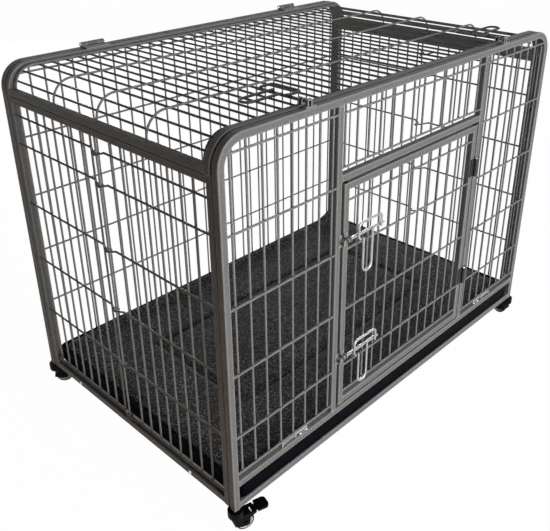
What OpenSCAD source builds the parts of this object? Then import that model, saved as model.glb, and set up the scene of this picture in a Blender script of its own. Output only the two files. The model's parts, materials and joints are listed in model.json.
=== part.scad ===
// Dog crate of square steel tube and welded wire mesh on four casters.
// The front has a hinged door with two slide bolts, and the roof is a hinged lid with two more.
// A tray with a mat slides out below the front bottom rail. X is the length, the front is at -Y.

/* [Crate] */
// length over the hoops
crate_l = 1090; // [900:1:1300]
// depth over the hoops
crate_d = 697; // [560:1:800]
// height of the hoops, foot to top
crate_h = 772; // [660:1:900]
// floor to the feet of the hoops
caster_h = 60; // [56:1:80]

/* [Tubes] */
// width of the square tube
tube = 15; // [12:0.5:22]
// wall of the tube
tube_wall = 1.2; // [0.8:0.1:2]
// rounding of the tube's edges
tube_edge = 2.2; // [1.5:0.1:3]
// outer radius of the hoops' top corners
bend_r = 55; // [40:1:80]

/* [Mesh] */
// wire diameter
wire = 4.5; // [3:0.1:6]
// distance between upright wires
mesh_pitch = 35.6; // [25:0.1:60]
// distance between the level wires
row_pitch = 141.5; // [90:0.5:200]
// top level wire below the top of the hoop
row_drop = 31; // [24:1:60]
// lowest level wire above the tube below it
row_rise = 16; // [10:1:30]

/* [Front] */
// half width of the door opening
opening_half = 244; // [180:1:280]
// bottom of the front bottom rail above the feet: height of the tray's slot with the lower rail
rail_z = 55; // [50:1:80]
// bottom of the door header above the feet
header_z = 608; // [480:1:640]
// sideways offset of the bays' wires, to the right
bay_shift = 5; // [0:1:6]

/* [Door] */
// gap at the bolts
door_gap_bolt = 8; // [6:0.5:12]
// gap at the hinges
door_gap_hinge = 5; // [4:0.5:8]
// gap above and below the door
door_gap_z = 6; // [3:0.5:10]
// sideways offset of the door's wires, away from the bolts
door_mesh_shift = 9; // [0:1:12]
// height of the lower bolt above the feet
bolt_low_z = 207.5; // [190:0.5:260]
// height of the upper bolt above the feet
bolt_high_z = 486; // [400:1:500]
// height of the lower hinge above the feet
hinge_low_z = 203; // [150:1:260]
// height of the upper hinge above the feet
hinge_high_z = 497; // [400:1:540]

/* [Slide bolts] */
// rod diameter
bolt_d = 6; // [5:0.5:8]
// rod centre above the face it is mounted on
bolt_off = 8; // [7:0.5:12]
// travel of the bolt into its keeper
bolt_travel = 17; // [14:0.5:20]
// width of the hanging handle, centre to centre
handle_w = 28; // [22:1:40]
// length of the hanging handle below the rod
handle_l = 88; // [70:1:100]
// length of the upper loop of the handle wire
loop_l = 72; // [60:1:90]
// height of the upper loop above the rod
loop_h = 27; // [20:1:34]

/* [Roof] */
// gap between the roof's hoops and the outer hoops
roof_gap = 4.5; // [4:0.1:8]
// height of the roof's corner legs, top to foot
roof_leg = 65.5; // [60:0.5:80]
// distance between cross wires
roof_pitch = 31.4; // [25:0.1:60]
// the length wires' centre below the top
roof_wire_drop = 7; // [4:0.5:12]
// distance of the bolts from the crate's ends
roof_bolt_in = 215; // [170:1:340]
// distance of the hinges from the crate's ends
roof_hinge_in = 226; // [170:1:340]
// width of a hinge
roof_hinge_w = 60; // [50:1:80]
// half length of the hinge's middle barrel
roof_mid = 15; // [10:0.5:18]
// number of length wires
roof_wires = 5; // [3:1:7]

/* [Ends] */
// top of the end panels above the feet
end_h = 705; // [600:1:705]
// fold line from mid depth, towards the rear
fold_y = 13; // [0:1:20]
// drop of the front half's level wires to their hooks
fold_drop = 12; // [11:0.5:13]
// length over which they drop
fold_ramp = 36; // [26:1:50]
// drop of the rear half's level wires onto the fold wire
fold_jog = 6; // [5:0.1:6.5]
// distance between upright wires of the ends
end_pitch = 34; // [25:0.1:50]
// second upright wire behind the fold
fold_next = 15; // [10:0.5:20]
// height of the lower spacers above the feet
spacer_low_z = 141; // [100:1:250]
// height of the upper spacers above the feet
spacer_high_z = 564; // [450:1:600]
// diameter of the spacers
spacer_d = 9; // [7:0.5:12]
// rivets of the bottom tubes, from mid depth
rivet_y = 209; // [120:1:230]

/* [Tray catches] */
// outer end of a catch, from the middle
catch_end = 409; // [360:1:430]
// length of a catch's rod
catch_l = 78; // [70:1:90]
// length of the foot plate
catch_plate = 26; // [22:1:32]
// diameter of the rod
catch_rod = 5; // [4:0.5:6]
// spring radius, to the middle of its wire
spring_r = 4.2; // [3.8:0.1:5]
// spring wire diameter
spring_wire = 1.6; // [1:0.1:2]
// number of curls
spring_turns = 8; // [5:1:12]

/* [Tray and mat] */
// height of the tray
tray_h = 36; // [28:1:36]
// wall of the tray
tray_wall = 2.5; // [2:0.1:4]
// how far the tray's rim stands out from the wall
tray_rim = 2; // [1:0.5:4]
// height of the rim
tray_skirt = 12; // [8:1:20]
// height of the mat at its crown
mat_h = 36; // [25:1:36]
// height of the mat's widest line
mat_belly = 15; // [10:0.5:18]
// width of the mat's rounded shoulder
mat_shoulder = 90; // [50:1:100]
// how far the mat's sides draw in between its corners
mat_draw = 7; // [4:0.5:12]
// rounding of the mat's corners on plan
mat_corner = 38; // [30:1:60]
// stitched line, inward from the mat's edge
mat_seam = 165; // [140:1:200]
// half width of the stitched channel
mat_channel = 28; // [16:1:32]
// depth of the stitched channel
mat_dip = 7; // [3:0.5:10]

/* [Casters] */
// wheel radius
wheel_r = 20; // [18:0.5:22]
// wheel width
wheel_w = 17; // [14:0.5:22]
// wheel centre behind the swivel axis
trail = 18; // [16:0.5:20]
// radius of the wheel's dished face
dish_r = 14.5; // [12:0.5:15]
// radius of the wheel's hub
hub_r = 7; // [6:0.5:9]
// reach of the brake pedal from the swivel axis
pedal_reach = 70; // [66:1:80]
// width of the brake pedal
pedal_w = 27; // [24:1:32]
// rounding of the pedal's corners
pedal_tip = 8; // [4:0.5:10]
// thickness of the pedal
pedal_t = 6; // [4:0.5:7]
// swing of the front left caster, outward from the front
front_left_turn = 16; // [0:1:24]
// swing of the rear left caster, inward from the left end
rear_left_turn = 30; // [0:1:90]
// swing of the front right caster, inward from the front
front_right_turn = 84; // [84:1:90]

/* [Hidden] */
$fn = 32;
gap = 0.4;
weld = 0.25;
x_out = crate_l / 2;
x_in = x_out - tube;
roof_bolt_x = x_out - roof_bolt_in;
roof_hinge_x = x_out - roof_hinge_in;
z_foot = caster_h;
z_top = z_foot + crate_h;
bend_z = z_top - bend_r;
bend_x = x_out - bend_r;
handle_d = 5;
handle_off = bolt_off + bolt_d / 2 + handle_d / 2 - weld;
pedal_out = (pedal_reach - pedal_tip) * sin(front_left_turn) + (pedal_w / 2 - pedal_tip) * cos(front_left_turn)
    + pedal_tip - tube / 2;
front_reach = max(handle_off + handle_d / 2, round(pedal_out * 500) / 500);
bell_r = 16;
bell_edge = 6;
rear_reach = bell_r - tube / 2;
y_front = (front_reach - rear_reach - crate_d) / 2;
y_rear = y_front + crate_d;
y_mid = (y_front + y_rear) / 2;
wire_in = 3.5;
wire_step = wire - weld;
wire_margin = 9.2;
wire_tail = 3;

post_x = opening_half + tube / 2;
rail_top = z_foot + rail_z + tube;
low_row = rail_top + row_rise;
header_top = z_foot + header_z + tube;

door_x0 = -opening_half + door_gap_bolt;
door_x1 = opening_half - door_gap_hinge;
door_z0 = rail_top + door_gap_z;
door_z1 = z_foot + header_z - door_gap_z;
door_mid = (door_x0 + door_x1) / 2;

hinge_x = opening_half - door_gap_hinge / 2;
knuckle_r = 4;
hinge_y = y_front - knuckle_r;
hinge_half = 22;
hinge_mid = 7.6;
hinge_pin_d = 4;
leaf_t = 2;
leaf_w = 17;
pin_play = 0.05;

ear_t = 2;
ear_step = 8;
ear_half = 8;
base_half = 13;
keeper_near = 8;
keeper_t = 6;
keeper_base = 9;
bolt_tip = 2.5;
bolt_play = 0.3;
loop_x = 31;
handle_x = 47;
loop_r = 9;

roof_y0 = y_front + tube + roof_gap;
roof_y1 = y_rear - tube - roof_gap;
roof_foot = z_top - roof_leg;
roof_hinge_y = y_rear - tube / 2;
roof_knuckle_r = 5;
roof_lift = 1;
roof_hinge_z = z_top + roof_lift + roof_knuckle_r;
roof_pin_d = 5;
roof_plate_t = 2.5;
roof_wire_z = z_top - roof_wire_drop;
roof_tube_top = roof_foot + tube;
roof_foot_x = x_out - 12;
roof_arc = roof_wire_z - roof_tube_top;
roof_flat = roof_foot_x - roof_arc;
roof_wire_y = (roof_y1 - roof_y0) / 2 - tube - 10;

end_inset = 1.5;
end_gap = 3;
end_x = x_out - end_inset;
end_y0 = y_front + tube + end_gap;
end_y1 = y_rear - tube - end_gap;
end_top = z_foot + end_h;
fold_mid = y_mid + fold_y;
fold_half = 2;
hook_gap = 0.8;
end_row_drop = 40;
low_end_row = z_foot + tube + row_rise;

tray_x = end_x - tube - 1.5;
tray_y0 = y_front + 2;
tray_y1 = end_y1 - 1;
tray_z = z_foot + tube + gap;
tray_corner = 18;
mat_gap = 8;
mat_x = tray_x - tray_rim - tray_wall - mat_gap;
mat_y0 = tray_y0 + tray_rim + tray_wall + mat_gap;
mat_y1 = tray_y1 - tray_rim - tray_wall - mat_gap;
mat_z = tray_z + tray_wall;
mat_top = mat_z + mat_h;
mat_under = 16;
mat_flat = 80;
mat_centre = mat_seam + mat_flat;
mat_side = 8;
mat_turn = 4;

catch_x0 = catch_end - catch_l;
catch_ear = 3;
catch_ear_h = 11;
catch_w = 10;
catch_t = 2;
catch_lift = 6;
catch_head_in = 4;
catch_head_y = 2.5;
catch_head_d = 7;
catch_head_top = 5;
catch_head_h = 2;
catch_y = y_front + tube / 2;
catch_z = rail_top + catch_lift;
catch_room = 13;
spring_x0 = catch_x0 + catch_plate + catch_room;
spring_x1 = catch_end - catch_ear;
spring_rings = 8;
spring_sides = 6;

socket_flange = 2;
socket_l = 30;
stem_r = 5;
swivel_gap = 0.6;
bell_top = z_foot - socket_flange - swivel_gap;
bell_foot = bell_top - 20;
fork_low = 6;
fork_half = 7.5;
hood_front = 11;
hood_back = 20;
hood_lip = 25;
hood_top = 23.8;
round_r = 3.5;
dish_t = 2.5;
hood_gap = 2;
hood_t = 2.5;
cheek_in = wheel_w / 2 + 1;
cheek_out = cheek_in + hood_t;
axle_r = 3;
pedal_dx = 19.5;
pedal_dz = 20;
pedal_root = 7;
pedal_lift = 2;
arm_in = 1.5;
arm_drop = 2.5;
arm_t = 4.5;
pedal_pin_r = 1.5;
pedal_barrel = 8;
ear_r = 4;

metal = [0.42, 0.43, 0.44];
wires = [0.5, 0.51, 0.52];
black = [0.09, 0.09, 0.1];

// level wires counted down from the top
function row(i) = z_top - row_drop - i * row_pitch;
// half width inside a hoop at height z, for a wire of the mesh
function hoop_half(z) = z + wire / 2 <= bend_z ? x_in
    : bend_x + sqrt(pow(bend_r - tube, 2) - pow(z + wire / 2 - bend_z, 2));
// underside of a hoop's top at distance x from the middle
function hoop_under(x) = abs(x) + wire / 2 <= bend_x ? z_top - tube
    : bend_z + sqrt(pow(bend_r - tube, 2) - pow(abs(x) + wire / 2 - bend_x, 2));
// evenly spaced wires between two tubes
function count(span, pitch) = floor((span - 2 * wire_margin) / pitch) + 1;
function spread(a, b, pitch) = [for (i = [0 : count(b - a, pitch) - 1])
    (a + b) / 2 + (i - (count(b - a, pitch) - 1) / 2) * pitch];
// rows of the front panel above a lowest row
function rows_above(low, first) = [for (i = [first : 9]) if (row(i) > low + row_pitch / 3) row(i)];

// square with rounded corners
module soft_square(s, r) {
    square([s - 2 * r, s], center = true);
    square([s, s - 2 * r], center = true);
    for (x = [-1, 1], y = [-1, 1])
        translate([x * (s / 2 - r), y * (s / 2 - r)])
            circle(r = r);
}

module tube_outer() {
    soft_square(tube, tube_edge);
}

module tube_inner() {
    soft_square(tube - 2 * tube_wall, max(tube_edge - tube_wall, 0.3));
}

module tube_section() {
    difference() {
        tube_outer();
        tube_inner();
    }
}

// bars along the axes, of the tube's section, its outline or its inside
module bar_x(x0, x1, y, z) {
    translate([x0, y, z])
        rotate([90, 0, 90])
            linear_extrude(x1 - x0) children();
}

module bar_y(y0, y1, x, z) {
    translate([x, y1, z])
        rotate([90, 0, 0])
            linear_extrude(y1 - y0) children();
}

module bar_z(z0, z1, x, y) {
    translate([x, y, z0])
        linear_extrude(z1 - z0) children();
}

// bent tube with two feet, its centre at depth y
module hoop(y, foot) {
    for (s = [-1, 1])
        bar_z(foot, bend_z, s * (x_out - tube / 2), y) tube_section();
    bar_x(-bend_x, bend_x, y, z_top - tube / 2) tube_section();
    for (s = [0, 1])
        translate([s == 0 ? bend_x : -bend_x, y, bend_z])
            rotate([90, 0, 0])
                rotate([0, 0, s * 90])
                    rotate_extrude(angle = 90)
                        translate([bend_r - tube / 2, 0])
                            tube_section();
}

// straight wires
module wire_x(x0, x1, y, z, d = wire) {
    translate([x0, y, z])
        rotate([0, 90, 0])
            cylinder(d = d, h = x1 - x0);
}

module wire_y(y0, y1, x, z, d = wire) {
    translate([x, y1, z])
        rotate([90, 0, 0])
            cylinder(d = d, h = y1 - y0);
}

module wire_z(z0, z1, x, y, d = wire) {
    translate([x, y, z0])
        cylinder(d = d, h = z1 - z0);
}

// wire in the YZ plane that leaves y0 level and steps down to the front in two quarter bends of radius r
module wire_step_down(x, y0, z, r) {
    translate([x, y0, z - r])
        rotate([90, 0, 90])
            rotate([0, 0, 90])
                rotate_extrude(angle = 90)
                    translate([r, 0])
                        circle(d = wire);
    translate([x, y0 - 2 * r, z - r])
        rotate([90, 0, 90])
            rotate([0, 0, 270])
                rotate_extrude(angle = 90)
                    translate([r, 0])
                        circle(d = wire);
}

// straight wire in the YZ plane between two points
module wire_slant(x, y0, z0, y1, z1, d) {
    translate([x, y0, z0])
        rotate([atan2(z1 - z0, y1 - y0) - 90, 0, 0])
            cylinder(d = d, h = norm([y1 - y0, z1 - z0]));
}

// bent wire in the XZ plane
module wire_arc(x, y, z, r, a0, a1, d) {
    translate([x, y, z])
        rotate([90, 0, 0])
            rotate([0, 0, a0])
                rotate_extrude(angle = a1 - a0)
                    translate([r, 0])
                        circle(d = d);
}

// Front panel

module front_hoop() {
    color(metal)
        hoop(y_front + tube / 2, z_foot);
}

module front_post(s) {
    color(metal)
        bar_z(rail_top, z_top - tube, s * post_x, y_front + tube / 2) tube_section();
}

module front_left_post() {
    front_post(-1);
}

module front_right_post() {
    front_post(1);
}

module door_header() {
    color(metal)
        bar_x(-opening_half, opening_half, y_front + tube / 2, header_top - tube / 2) tube_section();
}

module front_bottom_rail() {
    color(metal)
        bar_x(-x_in, x_in, y_front + tube / 2, rail_top - tube / 2) tube_section();
}

module front_lower_rail() {
    color(metal)
        bar_x(-x_in, x_in, y_front + tube / 2, z_foot + tube / 2) tube_section();
}

// side bay between a post and the hoop
module front_bay(shift) {
    a = opening_half + tube;
    y = y_front + wire_in;
    color(wires) {
        for (x = spread(a, x_in, mesh_pitch))
            wire_z(low_row - wire_tail, hoop_under(x + shift), x + shift, y + wire_step);
        for (z = concat(rows_above(low_row, 0), low_row))
            wire_x(a, hoop_half(z), y, z);
    }
}

module front_right_mesh() {
    front_bay(bay_shift);
}

module front_left_mesh() {
    mirror([1, 0, 0])
        front_bay(-bay_shift);
}

module front_upper_mesh() {
    y = y_front + wire_in;
    low = header_top + row_rise - 3;
    color(wires) {
        for (x = spread(-opening_half, opening_half, mesh_pitch))
            wire_z(low - wire_tail, z_top - tube, x, y + wire_step);
        for (z = [low, row(0)])
            wire_x(-opening_half, opening_half, y, z);
    }
}

// Rear panel

module rear_hoop() {
    color(metal)
        hoop(y_rear - tube / 2, z_foot);
}

module rear_lower_rail() {
    color(metal)
        bar_x(-x_in, x_in, y_rear - tube / 2, z_foot + tube / 2) tube_section();
}

module rear_mesh() {
    y = y_rear - wire_in;
    color(wires) {
        for (x = spread(-x_in, x_in, mesh_pitch))
            wire_z(low_end_row - wire_tail, hoop_under(x), x, y - wire_step);
        for (z = concat(rows_above(low_end_row, 0), low_end_row))
            wire_x(-hoop_half(z), hoop_half(z), y, z);
    }
}

// Ends, drawn on the right and mirrored to the left

// three tubes round a half; the upright stands at yu and the level tubes end at ye
module end_bars(yu, ye) {
    bar_z(z_foot, end_top, end_x - tube / 2, yu) children();
    for (z = [z_foot + tube / 2, end_top - tube / 2])
        bar_y(min(yu, ye), max(yu, ye), end_x - tube / 2, z) children();
}

module end_frame(yu, ye) {
    color(metal)
        difference() {
            end_bars(yu, ye) tube_outer();
            end_bars(yu, ye + sign(ye - yu)) tube_inner();
        }
}

// level wires of the ends
end_rows = concat(end_top - end_row_drop,
    [for (z = rows_above(low_end_row, 0)) if (z < end_top - end_row_drop - row_pitch / 3) z], low_end_row);

module end_front_frame() {
    end_frame(end_y0 + tube / 2, fold_mid - fold_half);
}

module end_rear_frame() {
    end_frame(end_y1 - tube / 2, fold_mid + fold_half);
}

// front half: level wires drop to hooks round the fold wire of the rear half
module end_front_mesh() {
    fold_x = end_x - wire_in - wire_step;
    x = fold_x + wire + hook_gap;
    color(wires) {
        for (i = [1 : floor((fold_mid - end_y0 - tube - wire_margin - end_pitch / 2) / end_pitch)])
            wire_z(low_end_row - wire_tail, end_top - tube, x - wire_step,
                fold_mid - end_pitch / 2 - i * end_pitch);
        for (z = end_rows) {
            wire_y(end_y0 + tube, fold_mid - fold_ramp + 1, x, z);
            wire_slant(x, fold_mid - fold_ramp, z, fold_mid - wire, z - fold_drop, wire - 0.3);
            wire_y(fold_mid - wire - 1, fold_mid, x, z - fold_drop);
            translate([fold_x, fold_mid, z - fold_drop])
                rotate_extrude(angle = 215)
                    translate([wire + hook_gap, 0])
                        circle(d = wire);
        }
    }
}

// rear half: first upright wire on the fold, a second close behind it; level wires drop onto the fold wire
module end_rear_mesh() {
    x = end_x - wire_in;
    last = end_y1 - tube;
    color(wires) {
        wire_z(z_foot + tube, end_top - tube, x - wire_step, fold_mid);
        for (y = [fold_mid + fold_next : end_pitch : last - wire])
            wire_z(low_end_row - wire_tail, end_top - tube, x - wire_step, y);
        for (z = end_rows) {
            wire_y(fold_mid + wire_tail + fold_jog, last, x, z);
            wire_step_down(x, fold_mid + wire_tail + fold_jog, z, fold_jog / 2);
            wire_y(fold_mid - wire_tail, fold_mid + wire_tail, x, z - fold_jog);
        }
    }
}

module right_end_front_frame() {
    end_front_frame();
}

module right_end_rear_frame() {
    end_rear_frame();
}

module right_end_front_mesh() {
    end_front_mesh();
}

module right_end_rear_mesh() {
    end_rear_mesh();
}

module left_end_front_frame() {
    mirror([1, 0, 0])
        end_front_frame();
}

module left_end_rear_frame() {
    mirror([1, 0, 0])
        end_rear_frame();
}

module left_end_front_mesh() {
    mirror([1, 0, 0])
        end_front_mesh();
}

module left_end_rear_mesh() {
    mirror([1, 0, 0])
        end_rear_mesh();
}

// spacers between the hoops and the end uprights
module panel_spacers() {
    color(black)
        for (s = [-1, 1], z = [spacer_low_z, spacer_high_z]) {
            wire_y(y_front + tube, end_y0, s * (x_out - tube / 2), z_foot + z, spacer_d);
            wire_y(end_y1, y_rear - tube, s * (x_out - tube / 2), z_foot + z, spacer_d);
        }
}

// rivets on the outside of the end bottom tubes
module end_rail_rivets() {
    color([0.75, 0.76, 0.77])
        for (s = [-1, 1], y = [-1, 1])
            translate([s * end_x, y_mid + y * rivet_y, z_foot + tube / 2])
                rotate([0, s * 90, 0])
                    cylinder(d1 = 8, d2 = 5, h = end_inset);
}

// Tray catches on the bottom rail

// rod in two ears, with a riveted foot plate below its inner end
module tray_catch() {
    color(metal) {
        wire_x(catch_x0, catch_end, catch_y, catch_z, catch_rod);
        for (x = [spring_x0 - catch_ear, spring_x1])
            translate([x, catch_y - catch_w / 2, rail_top])
                cube([catch_ear, catch_w, catch_ear_h]);
        translate([catch_x0, catch_y - catch_w / 2, rail_top])
            cube([catch_plate, catch_w, catch_t]);
        translate([catch_x0, catch_y - catch_t, rail_top])
            cube([catch_ear, 2 * catch_t, catch_lift]);
        for (x = [catch_head_in, catch_plate - catch_head_in])
            translate([catch_x0 + x, catch_y - catch_head_y, rail_top + catch_t - weld])
                cylinder(d1 = catch_head_d, d2 = catch_head_top, h = catch_head_h);
    }
}

module tray_catches() {
    tray_catch();
    mirror([1, 0, 0])
        tray_catch();
}

// middle of the spring's wire at ring i
function coil_at(i) = let (a = i * 360 / spring_rings)
    [spring_x0 + spring_wire / 2 + i * (spring_x1 - spring_x0 - spring_wire) / (spring_turns * spring_rings),
        spring_r * cos(a), spring_r * sin(a)];
// least gap between the wire of one curl and the next, on the rings' points
coil_gap = min([for (i = [0 : spring_turns * spring_rings],
    j = [i + spring_rings / 2 : 1 : min(i + 2 * spring_rings, spring_turns * spring_rings)])
    norm(coil_at(i) - coil_at(j))]) - spring_wire;
echo("least gap of the spring to itself, mm", coil_gap);

// coil as a tube swept round the rod
module coil() {
    steps = spring_turns * spring_rings;
    n = spring_sides;
    pts = [for (i = [0 : steps], k = [0 : n - 1])
        let (a = i * 360 / spring_rings, b = k * 360 / n, q = spring_wire / 2 * cos(b))
        coil_at(i) + [spring_wire / 2 * sin(b), q * cos(a), q * sin(a)]];
    skin = [for (i = [0 : steps - 1], k = [0 : n - 1], t = [0, 1])
        let (f = i * n + k, g = i * n + (k + 1) % n)
        t == 0 ? [f, g, g + n] : [f, g + n, f + n]];
    caps = [[for (k = [n - 1 : -1 : 0]) k], [for (k = [0 : n - 1]) steps * n + k]];
    polyhedron(pts, concat(skin, caps));
}

module tray_catch_springs() {
    color(black)
        for (s = [0, 1])
            mirror([s, 0, 0])
                translate([0, catch_y, catch_z])
                    coil();
}

// Slide bolts, drawn as on the door: the face is at y = 0, the free edge at x = 0

// upright ear with a hole for the rod
module ear(x, t, play) {
    translate([x, 0, 0])
        rotate([90, 0, 90])
            linear_extrude(t)
                difference() {
                    union() {
                        translate([-bolt_off, 0])
                            circle(r = ear_half - 2);
                        translate([-bolt_off, -ear_half + 2])
                            square([bolt_off, 2 * ear_half - 4]);
                    }
                    translate([-bolt_off, 0])
                        circle(d = bolt_d + 2 * play);
                }
}

module guide() {
    translate([0, -ear_t, -base_half])
        cube([ear_step + ear_t, ear_t, 2 * base_half]);
    ear(0, ear_t, bolt_play);
    ear(ear_step, ear_t, bolt_play);
}

// strap bent over the rod's path, on a foot plate
module keeper() {
    half = bolt_d / 2 + 2 * bolt_play;
    translate([-keeper_near - keeper_base, -ear_t, -base_half])
        cube([keeper_base, ear_t, 2 * base_half]);
    translate([-keeper_near - keeper_t, 0, 0])
        rotate([90, 0, 90])
            linear_extrude(keeper_t)
                difference() {
                    translate([-bolt_off - half - ear_t, -half - ear_t])
                        square([bolt_off + half + ear_t, 2 * (half + ear_t)]);
                    translate([-bolt_off - half, -half])
                        square([bolt_off + half - ear_t, 2 * half]);
                }
}

// rod and the one bent wire that is both loop and handle
module bolt() {
    y = -handle_off;
    r = handle_w / 2;
    wire_x(-bolt_tip, loop_x + loop_l + 14, -bolt_off, 0, bolt_d);
    wire_z(-bolt_d / 2, loop_h - loop_r, loop_x + loop_l, y, handle_d);
    wire_arc(loop_x + loop_l - loop_r, y, loop_h - loop_r, loop_r, 0, 90, handle_d);
    wire_x(loop_x + loop_r, loop_x + loop_l - loop_r, y, loop_h, handle_d);
    wire_arc(loop_x + loop_r, y, loop_h - loop_r, loop_r, 90, 180, handle_d);
    wire_z(0, loop_h - loop_r, loop_x, y, handle_d);
    wire_arc(loop_x + loop_r, y, 0, loop_r, 180, 240, handle_d);
    wire_arc(handle_x - loop_r, y, -2 * loop_r * sin(60), loop_r, 0, 60, handle_d);
    wire_z(r - handle_l, -2 * loop_r * sin(60), handle_x, y, handle_d);
    wire_arc(handle_x + r, y, r - handle_l, r, 180, 360, handle_d);
    wire_z(r - handle_l, bolt_d / 2, handle_x + handle_w, y, handle_d);
}

module on_door(z) {
    translate([door_x0, y_front, z_foot + z])
        children();
}

module on_roof(s) {
    mirror([s < 0 ? 1 : 0, 0, 0])
        translate([roof_bolt_x, roof_y0, z_top])
            rotate([-90, 0, 90])
                children();
}

module door_bolt_keepers() {
    color(metal)
        for (z = [bolt_low_z, bolt_high_z])
            on_door(z) keeper();
}

module roof_bolt_keepers() {
    color(metal)
        for (s = [-1, 1])
            on_roof(s) keeper();
}

// Door

module door_bars(over) {
    for (x = [door_x0 + tube / 2, door_x1 - tube / 2])
        bar_z(door_z0 - over, door_z1 + over, x, y_front + tube / 2) children();
    for (z = [door_z0 + tube / 2, door_z1 - tube / 2])
        bar_x(door_x0 + tube / 2, door_x1 - tube / 2, y_front + tube / 2, z) children();
}

module door_frame() {
    color(metal)
        difference() {
            door_bars(0) tube_outer();
            door_bars(1) tube_inner();
        }
}

module door_mesh() {
    y = y_front + wire_in;
    a = door_x0 + tube;
    b = door_x1 - tube;
    low = door_z0 + tube + row_rise - 2;
    high = door_z1 - tube - row_rise - 7;
    color(wires) {
        for (x = spread(a, b, mesh_pitch))
            wire_z(low - wire_tail, door_z1 - tube, x + door_mesh_shift, y + wire_step);
        for (z = concat(high, low, [for (z = rows_above(low, 0)) if (z < high - row_pitch / 3) z]))
            wire_x(a, b, y, z);
    }
}

module door_bolt_guides() {
    color(metal)
        for (z = [bolt_low_z, bolt_high_z])
            on_door(z) guide();
}

module upper_door_bolt() {
    color(wires)
        on_door(bolt_high_z) bolt();
}

module lower_door_bolt() {
    color(wires)
        on_door(bolt_low_z) bolt();
}

// barrel of a hinge with its bore
module knuckle(z0, z1, r, d) {
    translate([0, 0, z0])
        difference() {
            cylinder(r = r, h = z1 - z0);
            translate([0, 0, -1])
                cylinder(d = d + 2 * pin_play, h = z1 - z0 + 2);
        }
}

// door hinge leaf on the side s, with the barrels that belong to it
module hinge_leaf(s, barrels, clear) {
    for (b = barrels) {
        knuckle(b[0], b[1], knuckle_r, hinge_pin_d);
        difference() {
            translate([s > 0 ? 0 : -leaf_w, knuckle_r - leaf_t, b[0]])
                cube([leaf_w, leaf_t, b[1] - b[0]]);
            translate([0, 0, b[0] - 1])
                cylinder(r = knuckle_r - 1, h = b[1] - b[0] + 2);
        }
    }
    for (b = clear)
        translate([s > 0 ? knuckle_r + 0.7 : -leaf_w, knuckle_r - leaf_t, b[0]])
            cube([leaf_w - knuckle_r - 0.7, leaf_t, b[1] - b[0]]);
}

module at_door_hinges() {
    for (z = [hinge_low_z, hinge_high_z])
        translate([hinge_x, hinge_y, z_foot + z])
            children();
}

module door_hinge_brackets() {
    color(black)
        at_door_hinges()
            hinge_leaf(1, [[-hinge_mid, hinge_mid]],
                [[-hinge_half, -hinge_mid], [hinge_mid, hinge_half]]);
}

module door_hinge_leaves() {
    a = hinge_mid + gap;
    color(black)
        at_door_hinges()
            hinge_leaf(-1, [[-hinge_half, -a], [a, hinge_half]], [[-a, a]]);
}

module door_hinge_pins() {
    color(wires)
        at_door_hinges()
            for (s = [0, 1])
                mirror([0, 0, s]) {
                    cylinder(d = hinge_pin_d, h = hinge_half + gap);
                    translate([0, 0, hinge_half + gap])
                        cylinder(d1 = hinge_pin_d + 3, d2 = hinge_pin_d + 1, h = 2);
                }
}

// Roof

module roof_front_hoop() {
    color(metal)
        hoop(roof_y0 + tube / 2, roof_foot);
}

module roof_rear_hoop() {
    color(metal)
        hoop(roof_y1 - tube / 2, roof_foot);
}

module roof_left_tube() {
    color(metal)
        bar_y(roof_y0 + tube, roof_y1 - tube, -x_out + tube / 2, roof_foot + tube / 2) tube_section();
}

module roof_right_tube() {
    color(metal)
        bar_y(roof_y0 + tube, roof_y1 - tube, x_out - tube / 2, roof_foot + tube / 2) tube_section();
}

// length wires arch down onto the end tubes; most cross wires stop short of the front tube
module roof_mesh() {
    ym = (roof_y0 + roof_y1) / 2;
    n = floor((roof_flat - wire_margin) / roof_pitch);
    tie = 6;
    short = ym - roof_wire_y - wire - wire_tail;
    color(wires) {
        for (k = [0 : roof_wires - 1]) {
            y = ym + (2 * k / (roof_wires - 1) - 1) * roof_wire_y;
            wire_x(-roof_flat, roof_flat, y, roof_wire_z);
            wire_arc(roof_flat, y, roof_tube_top, roof_arc, 0, 90, wire);
            wire_arc(-roof_flat, y, roof_tube_top, roof_arc, 90, 180, wire);
        }
        for (i = [-n : n])
            wire_y((i + 2) % tie == 0 && abs(i) > 1 ? roof_y0 + tube : short, roof_y1 - tube,
                i * roof_pitch, roof_wire_z - wire_step);
        for (s = [-1, 1], a = [22, 58])
            wire_y(short, roof_y1 - tube, s * (roof_flat + (roof_arc - wire_step) * cos(a)),
                roof_tube_top + (roof_arc - wire_step) * sin(a));
    }
}

module roof_bolt_guides() {
    color(metal)
        for (s = [-1, 1])
            on_roof(s) guide();
}

module left_roof_bolt() {
    color(black)
        on_roof(-1) bolt();
}

module right_roof_bolt() {
    color(black)
        on_roof(1) bolt();
}

module at_roof_hinges() {
    for (s = [-1, 1])
        translate([s * roof_hinge_x, roof_hinge_y, roof_hinge_z])
            children();
}

// plate on the roof's rear tube, joggled over the rear hoop, with two barrels
module roof_hinge_plates() {
    w = roof_hinge_w / 2;
    near = roof_y1 - roof_hinge_y;
    low = z_top - roof_hinge_z;
    color(metal)
        at_roof_hinges()
            difference() {
                union() {
                    translate([-w, near - tube, low])
                        cube([2 * w, tube, roof_plate_t]);
                    translate([-w, near - 4, low + roof_lift])
                        cube([2 * w, -roof_knuckle_r - 3 - near + 4, roof_plate_t]);
                    for (s = [0, 1])
                        mirror([s, 0, 0]) {
                            translate([roof_mid + gap, near - 4, low + roof_lift])
                                cube([w - roof_mid - gap, 4 - near, roof_plate_t]);
                            translate([roof_mid + gap, 0, 0])
                                rotate([0, 90, 0])
                                    cylinder(r = roof_knuckle_r, h = w - roof_mid - gap);
                        }
                }
                wire_x(-w - 1, w + 1, 0, 0, roof_pin_d + 2 * pin_play);
            }
}

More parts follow.
